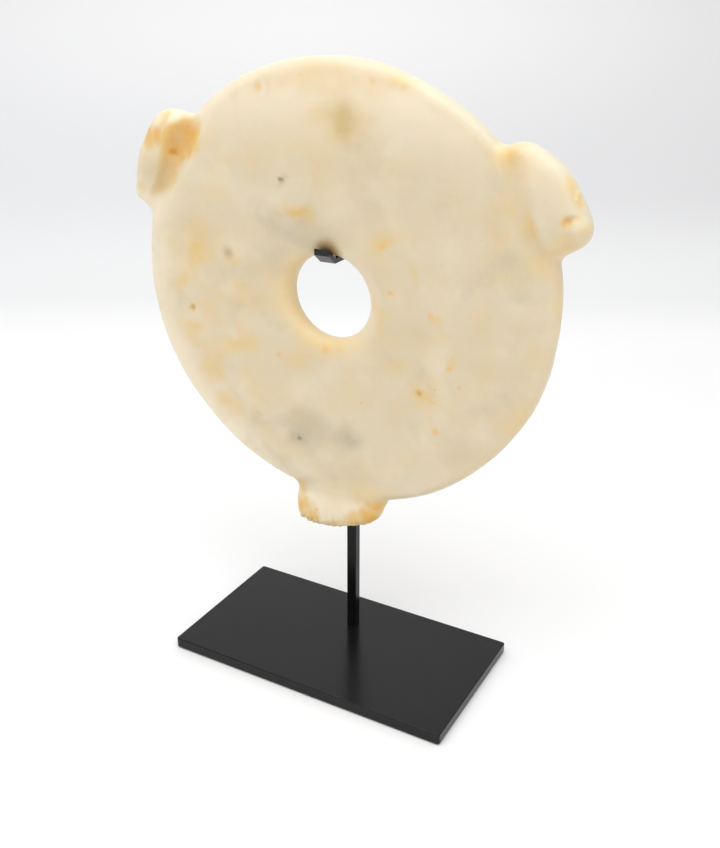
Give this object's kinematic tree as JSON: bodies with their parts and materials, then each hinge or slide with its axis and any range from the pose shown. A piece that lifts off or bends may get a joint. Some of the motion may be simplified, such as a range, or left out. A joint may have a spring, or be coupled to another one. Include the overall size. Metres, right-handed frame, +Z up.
{
  "type": "carved marble disc on stand",
  "caption": "Flat round marble disc with an off-centre hole and three carved ears on its rim, hung on the flat hook of a black steel display stand.",
  "frame": {"origin": "middle of the stand's underside, on the surface that it stands on", "axes": "+Z up, +X to the viewer's right along the plate's long side, -Y towards the viewer"},
  "size_m": [0.2164, 0.08, 0.291],
  "materials": {
    "marble": "smooth satin, worn",
    "black_paint": "satin black",
    "plated_steel": "zinc plated",
    "felt": "pressed felt"
  },
  "bodies": {
    "stand": {"base_plate": "black_paint", "base_felt": "felt", "base_screw": "plated_steel", "post": "black_paint", "hook": "black_paint", "hook_liner": "felt", "lug_pad": "felt"},
    "disc": {"marble_disc": "marble"}
  },
  "joints": [
    {"name": "disc_lift_off", "type": "slide", "parent": "stand", "child": "disc", "axis": [0.0271, -0.7066, 0.7071], "range_m": [0, 0.028]}
  ]
}
